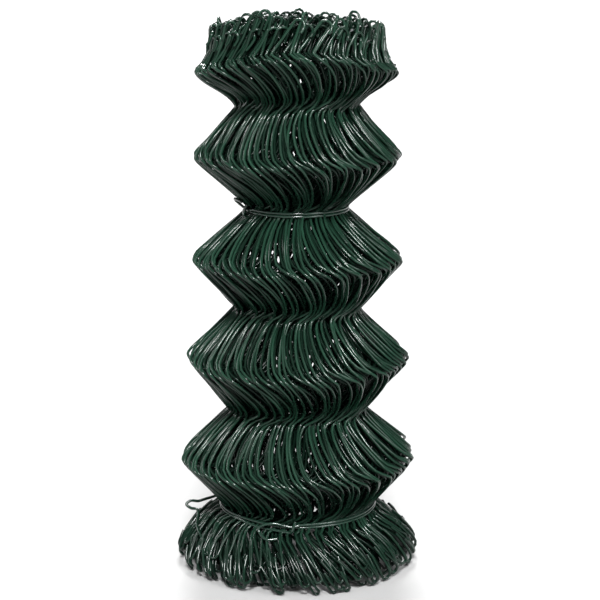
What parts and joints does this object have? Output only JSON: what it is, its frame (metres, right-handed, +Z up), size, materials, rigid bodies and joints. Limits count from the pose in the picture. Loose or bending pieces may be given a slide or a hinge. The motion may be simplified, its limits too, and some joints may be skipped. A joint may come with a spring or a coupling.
{
  "type": "roll of chain-link wire fencing",
  "caption": "Compact upright roll of green plastic-coated chain-link fencing, folded in and out like a bellows around an open bore and held shut by wire ties.",
  "frame": {"origin": "on the roll's axis, on the floor that it stands on", "axes": "+Z up along the roll's axis, -Y towards the side that shows the lower tie's knot, +X to the right seen from there"},
  "size_m": [0.2024, 0.2024, 0.4668],
  "materials": {
    "mesh_wire": "glossy dark green plastic coat over steel wire",
    "tie_wire": "glossy dark green plastic coat over steel wire"
  },
  "bodies": {
    "root": {"mesh_roll": "mesh_wire", "tie_upper": "tie_wire", "tie_lower": "tie_wire"}
  },
  "joints": []
}
